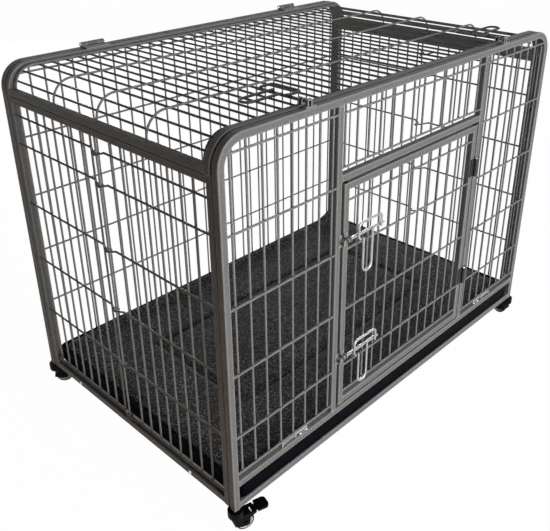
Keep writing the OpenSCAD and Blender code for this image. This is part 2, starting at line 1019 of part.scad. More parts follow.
module roof_hinge_brackets() {
    web = 5;
    color(metal)
        at_roof_hinges()
            difference() {
                union() {
                    wire_x(-roof_mid, roof_mid, 0, 0, 2 * roof_knuckle_r);
                    translate([-roof_mid, -web / 2, z_top - roof_hinge_z])
                        cube([2 * roof_mid, web, roof_hinge_z - z_top]);
                }
                wire_x(-roof_mid - 1, roof_mid + 1, 0, 0, roof_pin_d + 2 * pin_play);
            }
}

module roof_hinge_pins() {
    w = roof_hinge_w / 2 + gap;
    color(wires)
        at_roof_hinges()
            for (s = [0, 1])
                mirror([s, 0, 0])
                    rotate([0, 90, 0]) {
                        cylinder(d = roof_pin_d, h = w);
                        translate([0, 0, w])
                            cylinder(d1 = roof_pin_d + 3, d2 = roof_pin_d + 1, h = 2);
                    }
}

// Tray and mat

module tray_plan(inset) {
    r = max(tray_corner - inset, 2);
    x = tray_x - inset;
    y0 = tray_y0 + inset;
    y1 = tray_y1 - inset;
    translate([-x + r, y0])
        square([2 * x - 2 * r, y1 - y0]);
    translate([-x, y0 + r])
        square([2 * x, y1 - y0 - 2 * r]);
    for (cx = [-x + r, x - r], cy = [y0 + r, y1 - r])
        translate([cx, cy])
            circle(r = r);
}

// pan with a raised rim round the top of the wall
module tray() {
    color([0.1, 0.11, 0.15])
        translate([0, 0, tray_z])
            difference() {
                union() {
                    linear_extrude(tray_h - tray_skirt / 2) tray_plan(tray_rim);
                    translate([0, 0, tray_h - tray_skirt])
                        linear_extrude(tray_skirt) tray_plan(0);
                }
                translate([0, 0, tray_wall])
                    linear_extrude(tray_h) tray_plan(tray_rim + tray_wall);
            }
}

// rings of the mat, each an inset and a height: underside, drawn-in edge, shoulder, stitched channel, crown
mat_rings = concat(
    [for (a = [-90 : 30 : -30]) [mat_under * (1 - cos(a)), mat_belly * (1 + sin(a))]],
    [for (a = [0 : 18 : 90]) [mat_shoulder * (1 - cos(a)), mat_belly + (mat_h - mat_belly) * sin(a)]],
    [for (k = [-1, -0.35, 0, 0.35, 1]) [mat_seam + k * mat_channel, mat_h - mat_dip * (1 - 0.85 * abs(k))]],
    [[mat_centre, mat_h]]);

// closed outline with rounded corners, the same number of points on every ring
function mat_ring(inset, z) = let (x = mat_x - inset, y = (mat_y1 - mat_y0) / 2 - inset,
    r = max(mat_corner - inset * 0.6, 6), ym = (mat_y0 + mat_y1) / 2)
    [for (c = [0 : 3], k = [0 : mat_side + mat_turn - 1])
        let (a = c * 90, sx = c == 0 || c == 3 ? 1 : -1, sy = c < 2 ? 1 : -1,
            t = (k - mat_turn) / mat_side, b = a + 90 * k / mat_turn,
            p = [sx * (x - r), sy * (y - r)],
            q = c == 0 ? [-(x - r), y - r] : c == 1 ? [-(x - r), -(y - r)]
                : c == 2 ? [x - r, -(y - r)] : [x - r, y - r],
            d = r - mat_draw * 4 * t * (1 - t), o = [d * cos(a + 90), d * sin(a + 90)])
        k < mat_turn ? [p[0] + r * cos(b), ym + p[1] + r * sin(b), z]
            : [p[0] + (q[0] - p[0]) * t + o[0], ym + p[1] + (q[1] - p[1]) * t + o[1], z]];

module mat() {
    n = 4 * (mat_side + mat_turn);
    m = len(mat_rings);
    pts = [for (r = mat_rings) each mat_ring(r[0], mat_z + gap + r[1] * (1 - gap / mat_h))];
    skin = [for (i = [0 : m - 2], k = [0 : n - 1], t = [0, 1])
        let (a = i * n + k, b = i * n + (k + 1) % n)
        t == 0 ? [a, b + n, b] : [a, a + n, b + n]];
    caps = [[for (k = [0 : n - 1]) k], [for (k = [n - 1 : -1 : 0]) (m - 1) * n + k]];
    color([0.23, 0.23, 0.24])
        polyhedron(pts, concat(skin, caps));
}

// Casters, drawn with the swivel axis at the origin and the wheel behind it along +X

module at_corner(sx, sy, turn) {
    translate([sx * (x_out - tube / 2), sy < 0 ? y_front + tube / 2 : y_rear - tube / 2, 0])
        rotate([0, 0, turn])
            children();
}

module caster_sockets() {
    color(black)
        for (sx = [-1, 1], sy = [-1, 1])
            at_corner(sx, sy, 0)
                difference() {
                    union() {
                        translate([0, 0, z_foot - socket_flange])
                            linear_extrude(socket_flange) tube_outer();
                        translate([0, 0, z_foot])
                            linear_extrude(socket_l)
                                soft_square(tube - 2 * tube_wall - 0.1, tube_edge - tube_wall + 0.1);
                    }
                    translate([0, 0, z_foot - socket_flange - 1])
                        cylinder(r = stem_r + pin_play, h = socket_l + socket_flange + 2);
                }
}

// side profile of the fork, with ears for the pedal on a braked one
module fork_side(braked) {
    intersection() {
        circle(r = wheel_r + hood_gap + hood_t);
        polygon([[-fork_half, -fork_low], [fork_half, -fork_low], [hood_front, hood_top],
            [-hood_back, hood_top], [-hood_lip, 2]]);
    }
    if (braked) {
        polygon([[4, 10], [pedal_dx, pedal_dz - ear_r], [pedal_dx, pedal_dz + ear_r - 0.5],
            [4, pedal_dz + ear_r - 0.5]]);
        translate([pedal_dx, pedal_dz])
            circle(r = ear_r);
    }
}

module across(half) {
    translate([trail, half, wheel_r])
        rotate([90, 0, 0])
            linear_extrude(2 * half)
                children();
}

// hood and side plates round the wheel's well, the swivel bell, its stem and the axle
module fork(braked) {
    color(black) {
        difference() {
            union() {
                across(cheek_out) fork_side(braked);
                rotate_extrude() {
                    translate([0, bell_foot])
                        square([bell_r - bell_edge, bell_top - bell_foot]);
                    translate([0, bell_foot + bell_edge])
                        square([bell_r, bell_top - bell_foot - bell_edge]);
                    translate([bell_r - bell_edge, bell_foot + bell_edge])
                        circle(r = bell_edge);
                }
                translate([0, 0, bell_top - 1])
                    cylinder(r = stem_r, h = z_foot + socket_l - 2 - bell_top + 1);
            }
            across(cheek_in) {
                circle(r = wheel_r + hood_gap);
                if (braked)
                    translate([hood_front + 0.5, 0])
                        square([2 * wheel_r, 2 * wheel_r]);
            }
        }
        wire_y(-cheek_out - 1, cheek_out + 1, trail, wheel_r, 2 * axle_r);
        for (s = [-1, 1])
            translate([trail, s > 0 ? cheek_out + 2 : -cheek_out + hood_t / 2, wheel_r])
                rotate([90, 0, 0])
                    cylinder(r = axle_r + 2, h = 2 + hood_t / 2);
        if (braked)
            wire_y(-cheek_out + 0.5, cheek_out - 0.5, trail + pedal_dx, wheel_r + pedal_dz, 2 * pedal_pin_r);
    }
}

// tyre and core, with a dished face on each side
module wheel() {
    half = wheel_w / 2;
    color([0.6, 0.6, 0.6])
        translate([trail, 0, wheel_r])
            rotate([90, 0, 0])
                difference() {
                    rotate_extrude() {
                        translate([0, -half])
                            square([wheel_r - round_r, wheel_w]);
                        translate([0, -half + round_r])
                            square([wheel_r, wheel_w - 2 * round_r]);
                        for (s = [-1, 1])
                            translate([wheel_r - round_r, s * (half - round_r)])
                                circle(r = round_r);
                    }
                    for (s = [0, 1])
                        mirror([0, 0, s])
                            translate([0, 0, half - dish_t])
                                difference() {
                                    cylinder(r = dish_r, h = dish_t + 1);
                                    translate([0, 0, -1])
                                        cylinder(r = hub_r, h = dish_t + 3);
                                }
                    translate([0, 0, -wheel_w])
                        cylinder(r = axle_r + pin_play + 0.03, h = 2 * wheel_w);
                }
}

// low arm and rounded blade, barrel on the fork's cross pin and the shoe above the tyre
module pedal() {
    half = cheek_in - gap;
    start = trail + pedal_dx;
    blade = pedal_reach - start - pedal_root;
    color(black)
        translate([start, 0, wheel_r + pedal_dz])
            difference() {
                union() {
                    wire_y(-half, half, 0, 0, pedal_barrel);
                    translate([2, -half + arm_in, -arm_drop])
                        cube([pedal_root + 3, 2 * (half - arm_in), arm_t]);
                    translate([pedal_root, 0, pedal_lift - pedal_t / 2])
                        linear_extrude(pedal_t) {
                            translate([0, -pedal_w / 2])
                                square([blade - pedal_tip, pedal_w]);
                            translate([0, pedal_tip - pedal_w / 2])
                                square([blade, pedal_w - 2 * pedal_tip]);
                            for (s = [-1, 1])
                                translate([blade - pedal_tip, s * (pedal_w / 2 - pedal_tip)])
                                    circle(r = pedal_tip);
                        }
                    translate([-2, -half + 1, -pedal_barrel])
                        cube([4, 2 * half - 2, pedal_barrel - 1]);
                }
                wire_y(-half - 1, half + 1, 0, 0, 2 * (pedal_pin_r + pin_play));
            }
}

module front_left_fork() {
    at_corner(-1, -1, -front_left_turn) fork(true);
}

module front_right_fork() {
    at_corner(1, -1, front_right_turn) fork(false);
}

module rear_left_fork() {
    at_corner(-1, 1, -rear_left_turn) fork(false);
}

module rear_right_fork() {
    at_corner(1, 1, 180) fork(true);
}

module front_left_wheel() {
    at_corner(-1, -1, -front_left_turn) wheel();
}

module front_right_wheel() {
    at_corner(1, -1, front_right_turn) wheel();
}

module rear_left_wheel() {
    at_corner(-1, 1, -rear_left_turn) wheel();
}

module rear_right_wheel() {
    at_corner(1, 1, 180) wheel();
}

module front_left_brake_pedal() {
    at_corner(-1, -1, -front_left_turn) pedal();
}

module rear_right_brake_pedal() {
    at_corner(1, 1, 180) pedal();
}

front_hoop();
front_left_post();
front_right_post();
door_header();
front_bottom_rail();
front_lower_rail();
front_left_mesh();
front_right_mesh();
front_upper_mesh();
rear_hoop();
rear_lower_rail();
rear_mesh();
left_end_front_frame();
left_end_rear_frame();
right_end_front_frame();
right_end_rear_frame();
left_end_front_mesh();
left_end_rear_mesh();
right_end_front_mesh();
right_end_rear_mesh();
panel_spacers();
end_rail_rivets();
tray_catches();
tray_catch_springs();
door_bolt_keepers();
roof_bolt_keepers();
door_hinge_brackets();
door_hinge_pins();
roof_hinge_brackets();
roof_hinge_pins();
caster_sockets();
tray();
mat();
door_frame();
door_mesh();
door_bolt_guides();
door_hinge_leaves();
upper_door_bolt();
lower_door_bolt();
roof_front_hoop();
roof_rear_hoop();
roof_left_tube();
roof_right_tube();
roof_mesh();
roof_hinge_plates();
roof_bolt_guides();
left_roof_bolt();
right_roof_bolt();
front_left_fork();
front_right_fork();
rear_left_fork();
rear_right_fork();
front_left_wheel();
front_right_wheel();
rear_left_wheel();
rear_right_wheel();
front_left_brake_pedal();
rear_right_brake_pedal();
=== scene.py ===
"""Looks of the dog crate: finishes for the CAD nodes, the padded mat and two-part wheels, in metres."""
import json
import math

import bmesh
import bpy
import numpy as np
from mathutils import Matrix, Vector, noise

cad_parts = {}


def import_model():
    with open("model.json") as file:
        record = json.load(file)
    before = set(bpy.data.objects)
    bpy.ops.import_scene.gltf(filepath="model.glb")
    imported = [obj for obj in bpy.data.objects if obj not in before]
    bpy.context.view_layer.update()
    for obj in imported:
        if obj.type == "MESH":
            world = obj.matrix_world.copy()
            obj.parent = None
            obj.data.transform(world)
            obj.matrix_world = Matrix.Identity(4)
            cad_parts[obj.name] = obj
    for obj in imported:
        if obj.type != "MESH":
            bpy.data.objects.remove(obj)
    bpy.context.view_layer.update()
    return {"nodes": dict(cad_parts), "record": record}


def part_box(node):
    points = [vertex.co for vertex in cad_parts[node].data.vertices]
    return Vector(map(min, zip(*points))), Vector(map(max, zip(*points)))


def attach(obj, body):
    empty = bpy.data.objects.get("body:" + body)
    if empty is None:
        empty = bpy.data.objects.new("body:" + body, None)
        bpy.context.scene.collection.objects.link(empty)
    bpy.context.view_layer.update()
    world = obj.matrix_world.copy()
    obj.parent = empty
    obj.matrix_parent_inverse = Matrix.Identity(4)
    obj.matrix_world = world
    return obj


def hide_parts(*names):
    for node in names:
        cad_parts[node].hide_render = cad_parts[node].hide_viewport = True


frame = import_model()
nodes = frame["nodes"]
scene = bpy.context.scene
mm = 0.001


# Node helpers

def number(tree, op, a, b=0):
    """Math node. Each of a and b is a socket or a plain number."""
    n = tree.nodes.new("ShaderNodeMath")
    n.operation = op
    for socket, value in zip(n.inputs, (a, b)):
        if isinstance(value, (int, float)):
            socket.default_value = value
        else:
            tree.links.new(value, socket)
    return n.outputs[0]


def ramp(tree, fac, *stops):
    """Colour ramp. Each stop is a position with a grey level or a colour."""
    n = tree.nodes.new("ShaderNodeValToRGB")
    elements = n.color_ramp.elements
    while len(elements) < len(stops):
        elements.new(0.5)
    for element, (position, tone) in zip(elements, stops):
        element.position = position
        element.color = (*tone, 1) if isinstance(tone, tuple) else (tone, tone, tone, 1)
    tree.links.new(fac, n.inputs["Fac"])
    return n.outputs["Color"]


def mixed(tree, fac, a, b):
    """Colour mix. The factor is a socket or a number, a and b are sockets or colours."""
    n = tree.nodes.new("ShaderNodeMix")
    n.data_type = "RGBA"
    colours = [s for s in n.inputs if s.type == "RGBA"]
    for socket, value in zip((n.inputs["Factor"], *colours), (fac, a, b)):
        if isinstance(value, (int, float)):
            socket.default_value = value
        elif isinstance(value, tuple):
            socket.default_value = (*value, 1)
        else:
            tree.links.new(value, socket)
    return [s for s in n.outputs if s.type == "RGBA"][0]


class Finish:
    """A material with a Principled shader, and short calls for the nodes that feed it."""

    def __init__(self, name):
        self.mat = bpy.data.materials.new(name)
        self.mat.use_nodes = True
        self.tree = self.mat.node_tree
        self.bsdf = self.tree.nodes["Principled BSDF"]
        self.coord = self.tree.nodes.new("ShaderNodeTexCoord").outputs["Object"]

    def link(self, a, b):
        self.tree.links.new(a, b)

    def set(self, **values):
        """Constants on the shader's own sockets, with _ for a space."""
        for key, value in values.items():
            self.bsdf.inputs[key.replace("_", " ")].default_value = value

    def spread(self, scale=(1, 1, 1), turn=(0, 0, 0)):
        """Object coordinates, stretched and turned."""
        n = self.tree.nodes.new("ShaderNodeMapping")
        n.inputs["Scale"].default_value = scale
        n.inputs["Rotation"].default_value = turn
        self.link(self.coord, n.inputs["Vector"])
        return n.outputs["Vector"]

    def noise(self, scale, detail=3, rough=0.55, vector=None):
        n = self.tree.nodes.new("ShaderNodeTexNoise")
        n.inputs["Scale"].default_value = scale
        n.inputs["Detail"].default_value = detail
        n.inputs["Roughness"].default_value = rough
        self.link(vector or self.spread(), n.inputs["Vector"])
        return n.outputs["Fac"]

    def cells(self, scale):
        n = self.tree.nodes.new("ShaderNodeTexVoronoi")
        n.feature = "SMOOTH_F1"
        n.inputs["Scale"].default_value = scale
        n.inputs["Smoothness"].default_value = 0.4
        self.link(self.spread(), n.inputs["Vector"])
        return n.outputs["Distance"]

    def ramp(self, fac, *stops):
        return ramp(self.tree, fac, *stops)

    def math(self, op, a, b=0):
        return number(self.tree, op, a, b)

    def mix(self, fac, a, b):
        return mixed(self.tree, fac, a, b)

    def bump(self, height, strength, distance, normal=None):
        n = self.tree.nodes.new("ShaderNodeBump")
        n.inputs["Strength"].default_value = strength
        n.inputs["Distance"].default_value = distance
        self.link(height, n.inputs["Height"])
        if normal:
            self.link(normal, n.inputs["Normal"])
        return n.outputs["Normal"]

    def painted_edge_highlight(self, radius):
        """Mask of the painted edge highlight: 0.9 on sharp edges, falling to 0 within about the radius."""
        soft = self.tree.nodes.new("ShaderNodeBevel")
        soft.samples = 6
        soft.inputs["Radius"].default_value = radius
        n = self.tree.nodes.new("ShaderNodeVectorMath")
        n.operation = "DOT_PRODUCT"
        self.link(soft.outputs["Normal"], n.inputs[0])
        self.link(self.tree.nodes.new("ShaderNodeNewGeometry").outputs["Normal"], n.inputs[1])
        return self.ramp(n.outputs["Value"], (0.92, 0.9), (0.996, 0.0))

    def out(self, color=None, rough=None, normal=None):
        """Links what is given to the shader, and returns the material."""
        for key, value in (("Base Color", color), ("Roughness", rough), ("Normal", normal)):
            if value is not None:
                self.link(value, self.bsdf.inputs[key])
        return self.mat


# Finishes: noise and cell scales are per metre

# Pale grey of the painted highlight along sharp edges
EDGE_HIGHLIGHT = (0.62, 0.62, 0.61)


def hammered(name, dark, light, cell, shine, edge=0.0):
    """Hammered powder coat: shallow dimples, a coarse fleck, an uneven gloss and a painted highlight on the
    edges.
    """
    s = Finish(name)
    s.set(Metallic=0.0, Specular_IOR_Level=shine)
    dimple = s.cells(cell)
    fleck = s.noise(340, 3, 0.6)
    drift = s.noise(9, 2)
    fleck_dark = tuple(c * 0.7 for c in dark)
    fleck_light = tuple(c * 1.2 for c in light)
    tone = s.ramp(drift, (0.3, dark), (0.7, light))
    tone = s.mix(s.ramp(dimple, (0.15, 0.0), (0.6, 0.6)), tone, light)
    tone = s.mix(0.55, tone, s.ramp(fleck, (0.38, fleck_dark), (0.62, fleck_light)))
    if edge:
        # Painted highlight: sharp edges lightened towards a pale grey
        tone = s.mix(s.painted_edge_highlight(edge), tone, EDGE_HIGHLIGHT)
    gloss = s.ramp(s.noise(60), (0.3, 0.36), (0.7, 0.52))
    return s.out(tone, gloss, s.bump(fleck, 0.1, 0.4 * mm, s.bump(dimple, 0.2, 1.2 * mm)))


def plain_metal(name, dark, light, rough_lo, rough_hi, metallic):
    """Metal with a drifting tone, an uneven gloss and a very fine grain."""
    s = Finish(name)
    s.set(Metallic=metallic)
    fine = s.noise(700, 3)
    tone = s.ramp(s.noise(40), (0.3, dark), (0.7, light))
    gloss = s.ramp(s.noise(120), (0.3, rough_lo), (0.7, rough_hi))
    return s.out(tone, gloss, s.bump(fine, 0.05, 0.4 * mm))


def moulded(name, dark, light, rough, grain_scale, grain, shine=0.15):
    """Moulded plastic or rubber with a fine grain from its mould and an uneven gloss."""
    s = Finish(name)
    s.set(Metallic=0.0, Specular_IOR_Level=shine)
    fine = s.noise(grain_scale, 3, 0.6)
    tone = s.ramp(s.noise(25, 4), (0.32, dark), (0.7, light))
    gloss = s.ramp(s.noise(45, 3), (0.3, rough - 0.06), (0.7, rough + 0.08))
    return s.out(tone, gloss, s.bump(fine, grain, 0.5 * mm))


def fleece(name, centre, half):
    """Short charcoal pile, flecked light and dark, with a stitched rectangle of the given half sizes."""
    pile_deep, pile_mid, pile_tip = (0.002, 0.002, 0.002), (0.024, 0.0236, 0.024), (0.09, 0.089, 0.09)
    light_fleck, dull_patch, seam_line_dark = (0.34, 0.3366, 0.34), (0.012, 0.012, 0.013), (0.003, 0.003, 0.003)
    s = Finish(name)
    s.set(Metallic=0.0, Specular_IOR_Level=0.15, Roughness=0.95, Sheen_Weight=0.08, Sheen_Roughness=0.5)
    tuft = s.noise(180, 3, 0.7)
    fleck = s.noise(235, 2, 0.5, s.spread((1, 1.35, 1), (0.2, 0.1, 0.6)))
    patch = s.noise(14, 3)
    tone = s.ramp(tuft, (0.42, pile_deep), (0.51, pile_mid), (0.6, pile_tip))
    tone = s.mix(s.ramp(fleck, (0.555, 0.0), (0.615, 1.0)), tone, light_fleck)
    tone = s.mix(s.ramp(patch, (0.35, 0.4), (0.65, 0.0)), tone, dull_patch)
    xyz = s.tree.nodes.new("ShaderNodeSeparateXYZ")
    s.link(s.coord, xyz.inputs[0])
    away = []
    for i in (0, 1):
        from_centre = s.math("ABSOLUTE", s.math("SUBTRACT", xyz.outputs[i], centre[i]))
        away.append(s.math("SUBTRACT", from_centre, half[i]))
    # Darker along the stitched seam line, within about 4 mm of it
    centimetres = s.math("MULTIPLY", s.math("ABSOLUTE", s.math("MAXIMUM", *away)), 100)
    tone = s.mix(s.ramp(centimetres, (0.12, 0.8), (0.4, 0.0)), tone, seam_line_dark)
    return s.out(tone, None, s.bump(fleck, 0.5, 2 * mm, s.bump(tuft, 0.8, 4 * mm)))


MAT_LO, MAT_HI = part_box("mat")
MAT_MID = (MAT_LO + MAT_HI) / 2
MAT_HALF = (MAT_HI - MAT_LO) / 2
# From the mat's edge in to the stitched rectangle
SEAM = 0.165

# The tube coat has a painted highlight on its edges, within about 4 mm of them
STEEL = hammered("tube_coat", (0.18, 0.178, 0.176), (0.27, 0.268, 0.265), 150, 0.1, 4 * mm)
WIRE = hammered("wire_coat", (0.25, 0.25, 0.25), (0.37, 0.37, 0.368), 260, 0.05)
BOLT = plain_metal("bolt_zinc", (0.46, 0.46, 0.465), (0.62, 0.62, 0.625), 0.24, 0.36, 0.7)
BLACK = plain_metal("black_steel", (0.012, 0.012, 0.013), (0.03, 0.03, 0.031), 0.36, 0.5, 0.2)
BRIGHT = plain_metal("bright_steel", (0.5, 0.5, 0.51), (0.68, 0.68, 0.69), 0.22, 0.38, 0.95)
PLASTIC = moulded("black_plastic", (0.003, 0.003, 0.0033), (0.009, 0.009, 0.0094), 0.42, 1100, 0.1, 0.05)
RUBBER = moulded("tyre_rubber", (0.007, 0.007, 0.007), (0.018, 0.018, 0.018), 0.7, 800, 0.15)
CORE = moulded("wheel_core", (0.72, 0.72, 0.73), (0.84, 0.84, 0.85), 0.42, 900, 0.06)
TRAY = moulded("tray_plastic", (0.001, 0.0014, 0.0028), (0.0024, 0.0033, 0.0062), 0.4, 1000, 0.12, 0.012)
FLEECE = fleece("fleece", MAT_MID, MAT_HALF - Vector((SEAM, SEAM, 0)))

SLOTS = {"tube_coat": STEEL, "wire_coat": WIRE, "black_steel": BLACK, "bright_steel": BRIGHT,
         "black_plastic": PLASTIC, "tyre_rubber": RUBBER, "wheel_core": CORE, "tray_plastic": TRAY,
         "fleece": FLEECE}
ZINC_NODES = ("upper_door_bolt", "lower_door_bolt", "tray_catches", "tray_catch_springs")


def dress(obj, mat):
    obj.data.materials.clear()
    obj.data.materials.append(mat)


for part in frame["record"]["subparts"]:
    dress(nodes[part["node"]], SLOTS[part["material_slot"]])
for name in ZINC_NODES:
    dress(nodes[name], BOLT)


# Mesh helpers

def placed(name, mesh):
    obj = bpy.data.objects.new(name, mesh)
    scene.collection.objects.link(obj)
    return obj


def smoothed(mesh):
    for p in mesh.polygons:
        p.use_smooth = True


def made(name, bm):
    """Object of a finished bmesh, smooth and with its faces outwards."""
    mesh = bpy.data.meshes.new(name)
    bmesh.ops.recalc_face_normals(bm, faces=bm.faces)
    bm.to_mesh(mesh)
    bm.free()
    smoothed(mesh)
    return placed(name, mesh)


# Wheels: black tyre on a light core

AXES = {j["name"]: j.get("axis") for j in frame["record"]["behaviour"]["joints"]}
WHEEL_STEPS = 64
WHEEL_HALF = 8.5 * mm
TYRE_DEPTH = 4 * mm
TYRE_CLEARANCE = 0.05 * mm
HUB = 7 * mm
BORE = 3.1 * mm
SHARP_EDGE = math.radians(40)


def turned(profile, centre, axis):
    """Closed (radius, height) profile spun round an axis through centre."""
    bm = bmesh.new()
    along = Vector(axis).normalized()
    out = along.orthogonal().normalized()
    ring = [bm.verts.new(Vector(centre) + out * r + along * h) for r, h in profile]
    edges = [bm.edges.new((p, q)) for p, q in zip(ring, ring[1:] + ring[:1])]
    bmesh.ops.spin(bm, geom=ring + edges, cent=centre, axis=along, angle=2 * math.pi, steps=WHEEL_STEPS,
                   use_merge=True)
    return bm


def tyre_profile(r):
    """Flat tread with rounded shoulders, from one side of the rim to the other and back under the middle."""
    rim = r - TYRE_DEPTH
    side = [(rim, WHEEL_HALF - 0.5 * mm), (r - 3 * mm, WHEEL_HALF - 0.1 * mm),
            (r - 1.6 * mm, WHEEL_HALF - 0.8 * mm), (r - 0.5 * mm, WHEEL_HALF - 2.3 * mm),
            (r, WHEEL_HALF - 4.4 * mm)]
    return [(q, -h) for q, h in side] + side[::-1] + [(rim, 0)]


def core_profile(r):
    """Hub with a bore, a web sunk on both faces, and the rim that carries the tyre."""
    rim = r - TYRE_DEPTH - TYRE_CLEARANCE
    face = [(BORE, WHEEL_HALF), (HUB - 0.8 * mm, WHEEL_HALF), (HUB, WHEEL_HALF - 0.8 * mm),
            (HUB + 0.8 * mm, WHEEL_HALF - 2.4 * mm), (rim - 3 * mm, WHEEL_HALF - 2.5 * mm),
            (rim - 2 * mm, WHEEL_HALF - 1.4 * mm), (rim - 1.3 * mm, WHEEL_HALF - 0.9 * mm),
            (rim, WHEEL_HALF - 0.9 * mm)]
    return face + [(q, -h) for q, h in face[::-1]]


def wheel(corner):
    lo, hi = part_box(corner + "_wheel")
    r = (hi.z - lo.z) / 2
    for kind, profile, mat, slot in (("_tyre", tyre_profile(r), RUBBER, "tyre_rubber"),
                                     ("_core", core_profile(r), CORE, "wheel_core")):
        obj = made(corner + kind, turned(profile, (lo + hi) / 2, AXES[corner + "_roll"]))
        obj.data.set_sharp_from_angle(angle=SHARP_EDGE)
        dress(obj, mat)
        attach(obj, corner + "_roller")
        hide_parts(corner + "_wheel")


for corner in ("front_left", "front_right", "rear_left", "rear_right"):
    wheel(corner)


# Mat: stuffed fleece pad with a stitched inset rectangle

# From the CAD solid's sides out to the tray's walls, and room left under its top for the filling
MAT_GROW = 6.2 * mm
MAT_SLACK = 2 * mm
# Rounding of the corners on plan, the top edge and the bottom edge
PLAN_ROUND, TOP_ROUND, BOTTOM_ROUND = 0.03, 7 * mm, 8 * mm
MAT_VOXEL = 8.5 * mm
# What the filling can't lift: the underside, and the top within reach of the seam
HELD_BELOW, HELD_BESIDE_SEAM, SEAM_ABOVE = 6 * mm, 6 * mm, 0.02
SWELL_FRAMES = 20
SWELL_MOST = 6 * mm
GROOVE_DEPTH, GROOVE_WIDTH = 3.5 * mm, 5 * mm
# Height above the underside at which the top begins, and how soon it is all top
TOP_START, TOP_RUN = 0.012, 0.012
# Unevenness of the top: waves per metre, height
LUMPS = ((9.0, 2.6 * mm), (31.0, 1 * mm))
# How far the sides pull in between the corners
DRAW_IN = 3 * mm
# The side edges lie on the tray's rim: distance back from the edge where it starts, and the run of its rise
LIP_PLAN, LIP_DEPTH = (0.012, 0.014), (0.016, 0.01)
LIP_OUT, LIP_UP = 5.5 * mm, 0.6 * mm
# The rear edge is turned up against the rear wall, most in the right corner
REAR_PLAN, CORNER_PLAN = (0.036, 0.04), (0.11, 0.115)
REAR_UP, CORNER_UP = 0.012, 0.03


def rounded(bm, edges, offset, segments):
    bmesh.ops.bevel(bm, geom=edges, offset=offset, offset_type="OFFSET", affect="EDGES", segments=segments,
                    profile=0.5, material=-1)


def mat_shape():
    """Closed pad with rounded corners and shoulders, as wide as the tray inside its walls."""
    size = MAT_HI - MAT_LO + Vector((2 * MAT_GROW, 2 * MAT_GROW, -MAT_SLACK))
    bm = bmesh.new()
    bmesh.ops.create_cube(bm, size=1)
    bmesh.ops.scale(bm, vec=size, verts=bm.verts)
    bmesh.ops.translate(bm, vec=MAT_MID - Vector((0, 0, MAT_SLACK / 2)), verts=bm.verts)
    upright = [e for e in bm.edges if abs(e.verts[0].co.z - e.verts[1].co.z) > size.z / 2]
    rounded(bm, upright, PLAN_ROUND, 6)
    for level, offset in ((1, TOP_ROUND), (-1, BOTTOM_ROUND)):
        face = max(bm.faces, key=lambda f: f.normal.z * level)
        rounded(bm, list(face.edges), offset, 4)
    return bm


def seam_distance(co):
    """Distance on plan from the stitched rectangle, for an array of points."""
    dx, dy = (np.abs(co[:, i] - (MAT_LO[i] + MAT_HI[i]) / 2) - ((MAT_HI[i] - MAT_LO[i]) / 2 - SEAM)
              for i in (0, 1))
    outside = np.hypot(np.maximum(dx, 0), np.maximum(dy, 0))
    inside = np.minimum(np.maximum(dx, dy), 0)
    return np.abs(outside + inside)


def remeshed(obj, voxel):
    mod = obj.modifiers.new("remesh", "REMESH")
    mod.mode = "VOXEL"
    mod.voxel_size = voxel
    mod.adaptivity = 0
    dg = bpy.context.evaluated_depsgraph_get()
    mesh = bpy.data.meshes.new_from_object(obj.evaluated_get(dg))
    obj.modifiers.clear()
    return mesh


def coords(mesh):
    co = np.zeros(len(mesh.vertices) * 3)
    mesh.vertices.foreach_get("co", co)
    return co.reshape(-1, 3)


def inflate(mesh, cap):
    """Fills the pad by cloth pressure, its seam and underside held, and returns the moved points."""
    obj = placed("mat_work", mesh)
    rest = coords(mesh)
    low = rest[:, 2] < MAT_LO.z + HELD_BELOW
    stitched = (seam_distance(rest) < HELD_BESIDE_SEAM) & (rest[:, 2] > MAT_LO.z + SEAM_ABOVE)
    held = obj.vertex_groups.new(name="held")
    held.add([int(i) for i in np.nonzero(low | stitched)[0]], 1.0, "REPLACE")
    mod = obj.modifiers.new("cloth", "CLOTH")
    st = mod.settings
    st.vertex_group_mass = held.name
    st.use_pressure = True
    st.uniform_pressure_force = 4.0
    st.mass = 0.25
    st.tension_stiffness = st.compression_stiffness = 12
    st.shear_stiffness = 6
    st.bending_stiffness = 0.6
    st.quality = 5
    st.effector_weights.gravity = 0
    mod.collision_settings.use_collision = False
    mod.collision_settings.use_self_collision = False
    mod.point_cache.frame_start = 1
    mod.point_cache.frame_end = SWELL_FRAMES
    for f in range(1, SWELL_FRAMES + 1):
        scene.frame_set(f)
    dg = bpy.context.evaluated_depsgraph_get()
    moved = coords(obj.evaluated_get(dg).data)
    scene.frame_set(1)
    bpy.data.objects.remove(obj)
    step = moved - rest
    length = np.linalg.norm(step, axis=1, keepdims=True)
    return rest + step * np.minimum(1, cap / np.maximum(length, 1e-9))


def rise(value, edge, back, run):
    """0 up to the given distance back from the edge, then smoothly to 1 within the run."""
    t = np.clip((value - edge + back) / run, 0, 1)
    return t * t * (3 - 2 * t)


def fitted(co):
    """Keeps the pad between the tray's walls, lays its side edges on the rim and turns its rear edge up."""
    for i in (0, 1):
        along = np.clip(np.abs(co[:, 1 - i] - MAT_MID[1 - i]) / MAT_HALF[1 - i], 0, 1)
        wide = MAT_HALF[i] + MAT_GROW - DRAW_IN * (1 - along ** 4)
        co[:, i] = MAT_MID[i] + np.clip(co[:, i] - MAT_MID[i], -wide, wide)
    co[:, 2] = np.clip(co[:, 2], MAT_LO.z, MAT_HI.z)
    side = co[:, 0] - MAT_MID.x
    over = rise(np.abs(side), MAT_HALF.x, *LIP_PLAN) * rise(co[:, 2], MAT_HI.z, *LIP_DEPTH)
    co[:, 0] += LIP_OUT * over * np.sign(side)
    co[:, 2] += (MAT_HI.z + LIP_UP - co[:, 2]) * over
    corner = rise(co[:, 0], MAT_HI.x, *CORNER_PLAN)
    co[:, 2] += rise(co[:, 1], MAT_HI.y, *REAR_PLAN) * (REAR_UP + CORNER_UP * corner)


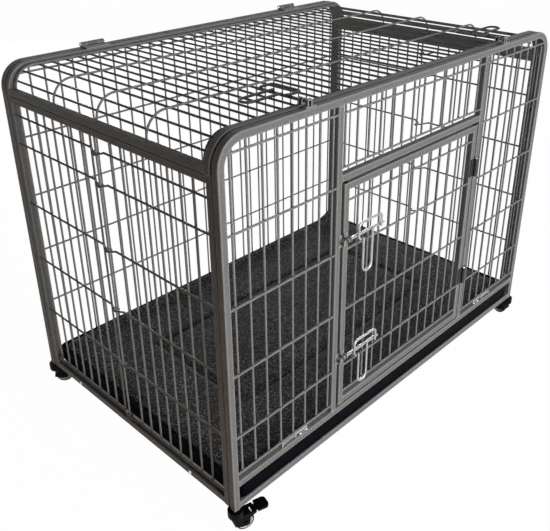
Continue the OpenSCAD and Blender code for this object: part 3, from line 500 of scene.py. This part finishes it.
def make_mat():
    start = made("mat_start", mat_shape())
    mesh = remeshed(start, MAT_VOXEL)
    bpy.data.objects.remove(start)
    mesh.name = "fleece_mat"
    co = inflate(mesh.copy(), SWELL_MOST)
    top = np.clip((co[:, 2] - MAT_LO.z - TOP_START) / TOP_RUN, 0, 1)
    co[:, 2] -= top * GROOVE_DEPTH * np.exp(-(seam_distance(co) / GROOVE_WIDTH) ** 2)
    for i, p in enumerate(co):
        co[i, 2] += top[i] * sum(noise.noise(Vector(p) * waves) * height for waves, height in LUMPS)
    fitted(co)
    mesh.vertices.foreach_set("co", co.ravel())
    mesh.update()
    smoothed(mesh)
    obj = placed("fleece_mat", mesh)
    dress(obj, FLEECE)
    sub = obj.modifiers.new("soft", "SUBSURF")
    sub.levels = sub.render_levels = 1
    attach(obj, "tray_body")
    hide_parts("mat")


make_mat()


# Floor and white surround

FLOOR_HALF = 8
FLOOR_WHITE = 1.06
FLOOR_GREY = (0.3, 0.3, 0.3, 1)
# Share of the floor's look that is white, which leaves a faint shadow
FLOOR_SHOWN = 0.93
# Shaded strip of floor: middle and half size along x and y, and its tones from the rim inwards
SHADE = ((-0.47, 0.026), (0.066, 0.358))
SHADE_TONES = ((0.0, 1.0), (0.7, 0.1))
SHADE_RIM = 0.02
FILL = (0.014, 0.0122, 0.0105)
WHITE = (1, 1, 1)


def shown(tree):
    """1 for the rays that should see a white surround: to the eye, in gloss and through glass."""
    path = tree.nodes.new("ShaderNodeLightPath").outputs
    seen = number(tree, "MAXIMUM", path["Is Camera Ray"], path["Is Glossy Ray"])
    return number(tree, "MAXIMUM", seen, path["Is Transmission Ray"])


def floor_tone(tree):
    """White, with the shade below the left end, where the gap beside the tray looks down on it."""
    xyz = tree.nodes.new("ShaderNodeSeparateXYZ")
    tree.links.new(tree.nodes.new("ShaderNodeTexCoord").outputs["Object"], xyz.inputs[0])
    inside = []
    for place, (middle, half) in zip(xyz.outputs, SHADE):
        from_middle = number(tree, "ABSOLUTE", number(tree, "SUBTRACT", place, middle))
        inside.append(number(tree, "SUBTRACT", half, from_middle))
    depth = number(tree, "MULTIPLY", number(tree, "MINIMUM", *inside), 1 / SHADE_RIM)
    return ramp(tree, depth, *SHADE_TONES)


def floor():
    bm = bmesh.new()
    bmesh.ops.create_grid(bm, x_segments=2, y_segments=2, size=FLOOR_HALF)
    mesh = bpy.data.meshes.new("floor")
    bm.to_mesh(mesh)
    bm.free()
    obj = placed("floor", mesh)
    mat = bpy.data.materials.new("floor")
    mat.use_nodes = True
    t = mat.node_tree
    t.nodes.clear()
    out = t.nodes.new("ShaderNodeOutputMaterial")
    white = t.nodes.new("ShaderNodeEmission")
    white.inputs["Strength"].default_value = FLOOR_WHITE
    t.links.new(floor_tone(t), white.inputs["Color"])
    pale = t.nodes.new("ShaderNodeBsdfDiffuse")
    pale.inputs["Color"].default_value = FLOOR_GREY
    mix = t.nodes.new("ShaderNodeMixShader")
    t.links.new(number(t, "MULTIPLY", shown(t), FLOOR_SHOWN), mix.inputs["Fac"])
    t.links.new(pale.outputs[0], mix.inputs[1])
    t.links.new(white.outputs[0], mix.inputs[2])
    t.links.new(mix.outputs[0], out.inputs["Surface"])
    mesh.materials.append(mat)


def world():
    """White where it is seen, a weak warm fill for the rest."""
    w = bpy.data.worlds.new("studio")
    scene.world = w
    w.use_nodes = True
    t = w.node_tree
    t.links.new(mixed(t, shown(t), FILL, WHITE), t.nodes["Background"].inputs["Color"])


# Lamps and camera

# The photograph's camera: image size, focal length and optical centre in pixels, angles in degrees
IMAGE_W, IMAGE_H = 550, 531
FOCAL = 722.47
CENTRE_X, CENTRE_Y = 285.58, 218.94
AZIMUTH, ELEVATION, ROLL = 45.8169, 26.0434, -0.4248
CAMERA_AT = (-1.2044, -1.12604, 1.1978)
SENSOR = 36


def lamp(name, place, target, size, power, color=WHITE):
    light = bpy.data.lights.new(name, "AREA")
    light.shape = "RECTANGLE"
    light.size, light.size_y = size
    light.energy = power
    light.color = color
    obj = placed(name, light)
    obj.location = place
    obj.rotation_mode = "QUATERNION"
    obj.rotation_quaternion = (Vector(target) - Vector(place)).to_track_quat("-Z", "Y")


def camera():
    az, el, roll = (math.radians(a) for a in (AZIMUTH, ELEVATION, ROLL))
    forward = Vector((math.sin(az) * math.cos(el), math.cos(az) * math.cos(el), -math.sin(el)))
    level = Vector((math.cos(az), -math.sin(az), 0))
    upright = level.cross(forward)
    right = level * math.cos(roll) + upright * math.sin(roll)
    up = upright * math.cos(roll) - level * math.sin(roll)
    cam = bpy.data.cameras.new("camera")
    cam.sensor_width = SENSOR
    cam.lens = FOCAL / IMAGE_W * SENSOR
    cam.shift_x = (IMAGE_W / 2 - CENTRE_X) / IMAGE_W
    cam.shift_y = (CENTRE_Y - IMAGE_H / 2) / IMAGE_W
    obj = placed("camera", cam)
    m = Matrix((right, up, -forward)).transposed().to_4x4()
    m.translation = CAMERA_AT
    obj.matrix_world = m
    scene.camera = obj


scene.view_settings.view_transform = "Standard"
floor()
world()
lamp("key", (-0.15, -4.1, 1.2), (-0.1, 0, 0.4), (2.4, 1.8), 125)
lamp("top", (0.2, -0.6, 3.6), (0, 0, 0), (3.2, 2.4), 0.5)
lamp("left", (-1.75, -0.7, 0.2), (0, -0.2, 0.25), (0.9, 0.5), 1.5, (1, 0.6, 0.3))
lamp("rear", (2.6, 3.2, 0.45), (0, 0, 0.42), (2.4, 0.7), 150)
camera()
